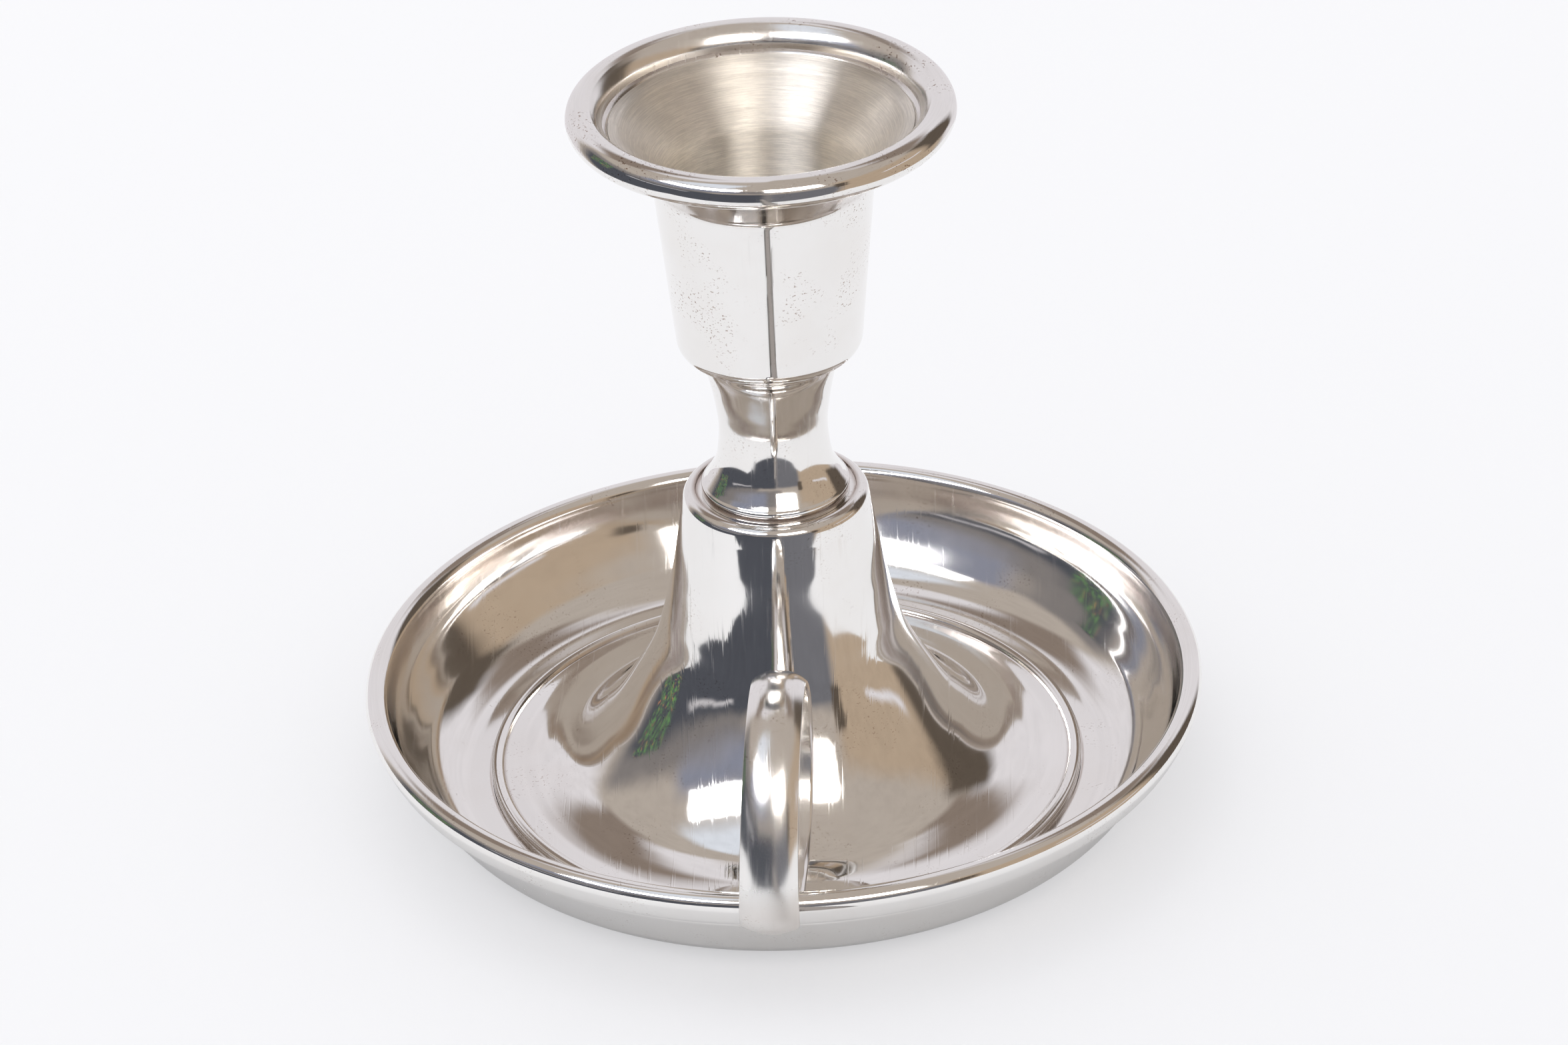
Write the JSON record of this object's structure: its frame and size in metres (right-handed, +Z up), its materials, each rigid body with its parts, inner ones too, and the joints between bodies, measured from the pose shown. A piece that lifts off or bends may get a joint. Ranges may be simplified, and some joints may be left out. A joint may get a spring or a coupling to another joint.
{
  "type": "chamber candlestick",
  "caption": "Low silver-plated candlestick: flared candle cup on a waisted neck and bell foot, in a round drip tray with a rolled rim and a finger loop.",
  "frame": {"origin": "on the column's axis, in the plane of the flat base that the drip tray stands on", "axes": "+Z up along the column; the finger loop is on the -Y side; +X to its right, seen from outside the tray"},
  "size_m": [0.13, 0.132, 0.1161],
  "materials": {
    "silver_plate": "polished silver plate with fine hairlines",
    "brushed_silver": "turned, worn silver plate",
    "brass": "bare, dull",
    "steel": "zinc plated, dull"
  },
  "bodies": {
    "root": {"drip_tray": "silver_plate", "tray_rim_wire": "brass", "bell_foot": "silver_plate", "neck_knop": "silver_plate", "candle_cup": "silver_plate", "cup_lip_wire": "brass", "socket_liner": "brushed_silver", "finger_loop": "silver_plate", "tie_bolt": "steel", "base_washer": "brass", "base_nut": "brass"}
  },
  "joints": []
}
